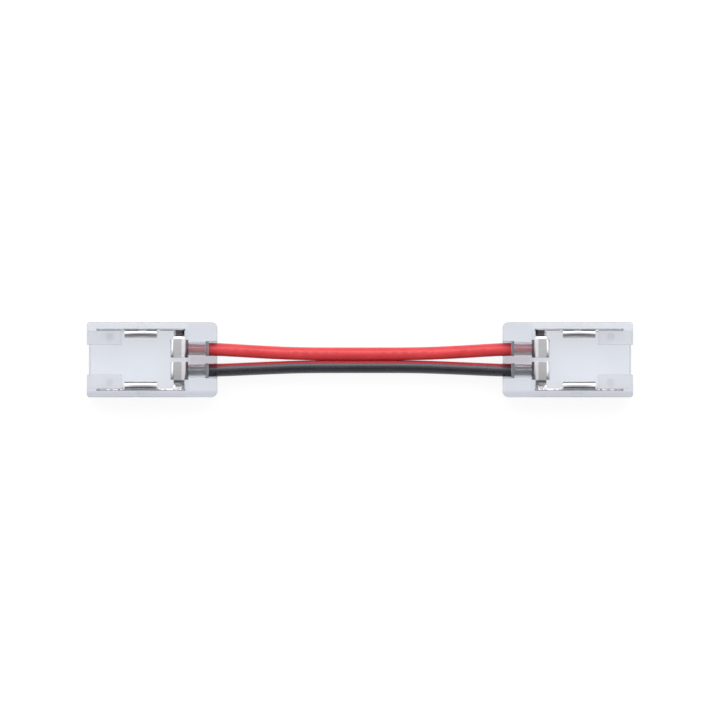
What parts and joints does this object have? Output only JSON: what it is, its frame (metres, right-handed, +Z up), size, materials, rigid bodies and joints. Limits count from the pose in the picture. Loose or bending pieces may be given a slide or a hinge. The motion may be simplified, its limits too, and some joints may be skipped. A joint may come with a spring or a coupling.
{
  "type": "led strip connector",
  "caption": "Clear solderless connector that joins two narrow light strips, with a tray-like housing at each end of a short red and black twin lead.",
  "frame": {"origin": "midway between the two housings, on the plane that their undersides rest on", "axes": "+X along the lead towards the right housing, +Y towards the red wire, +Z up out of the trays"},
  "size_m": [0.0764, 0.0104, 0.004],
  "materials": {
    "clear_polycarbonate": "clear, slightly milky injection moulded polycarbonate",
    "nickel_plate": "bright nickel plating on stamped bronze strip",
    "red_pvc": "satin red PVC",
    "black_pvc": "satin black PVC with a red stripe along its inner side",
    "tinned_copper": "tinned copper strands"
  },
  "bodies": {
    "root": {"left_housing": "clear_polycarbonate", "right_housing": "clear_polycarbonate", "left_positive_contact": "nickel_plate", "left_negative_contact": "nickel_plate", "right_positive_contact": "nickel_plate", "right_negative_contact": "nickel_plate", "red_insulation": "red_pvc", "black_insulation": "black_pvc", "red_strand_1": "tinned_copper", "red_strand_2": "tinned_copper", "red_strand_3": "tinned_copper", "red_strand_4": "tinned_copper", "red_strand_5": "tinned_copper", "red_strand_6": "tinned_copper", "red_strand_7": "tinned_copper", "black_strand_1": "tinned_copper", "black_strand_2": "tinned_copper", "black_strand_3": "tinned_copper", "black_strand_4": "tinned_copper", "black_strand_5": "tinned_copper", "black_strand_6": "tinned_copper", "black_strand_7": "tinned_copper"}
  },
  "joints": []
}
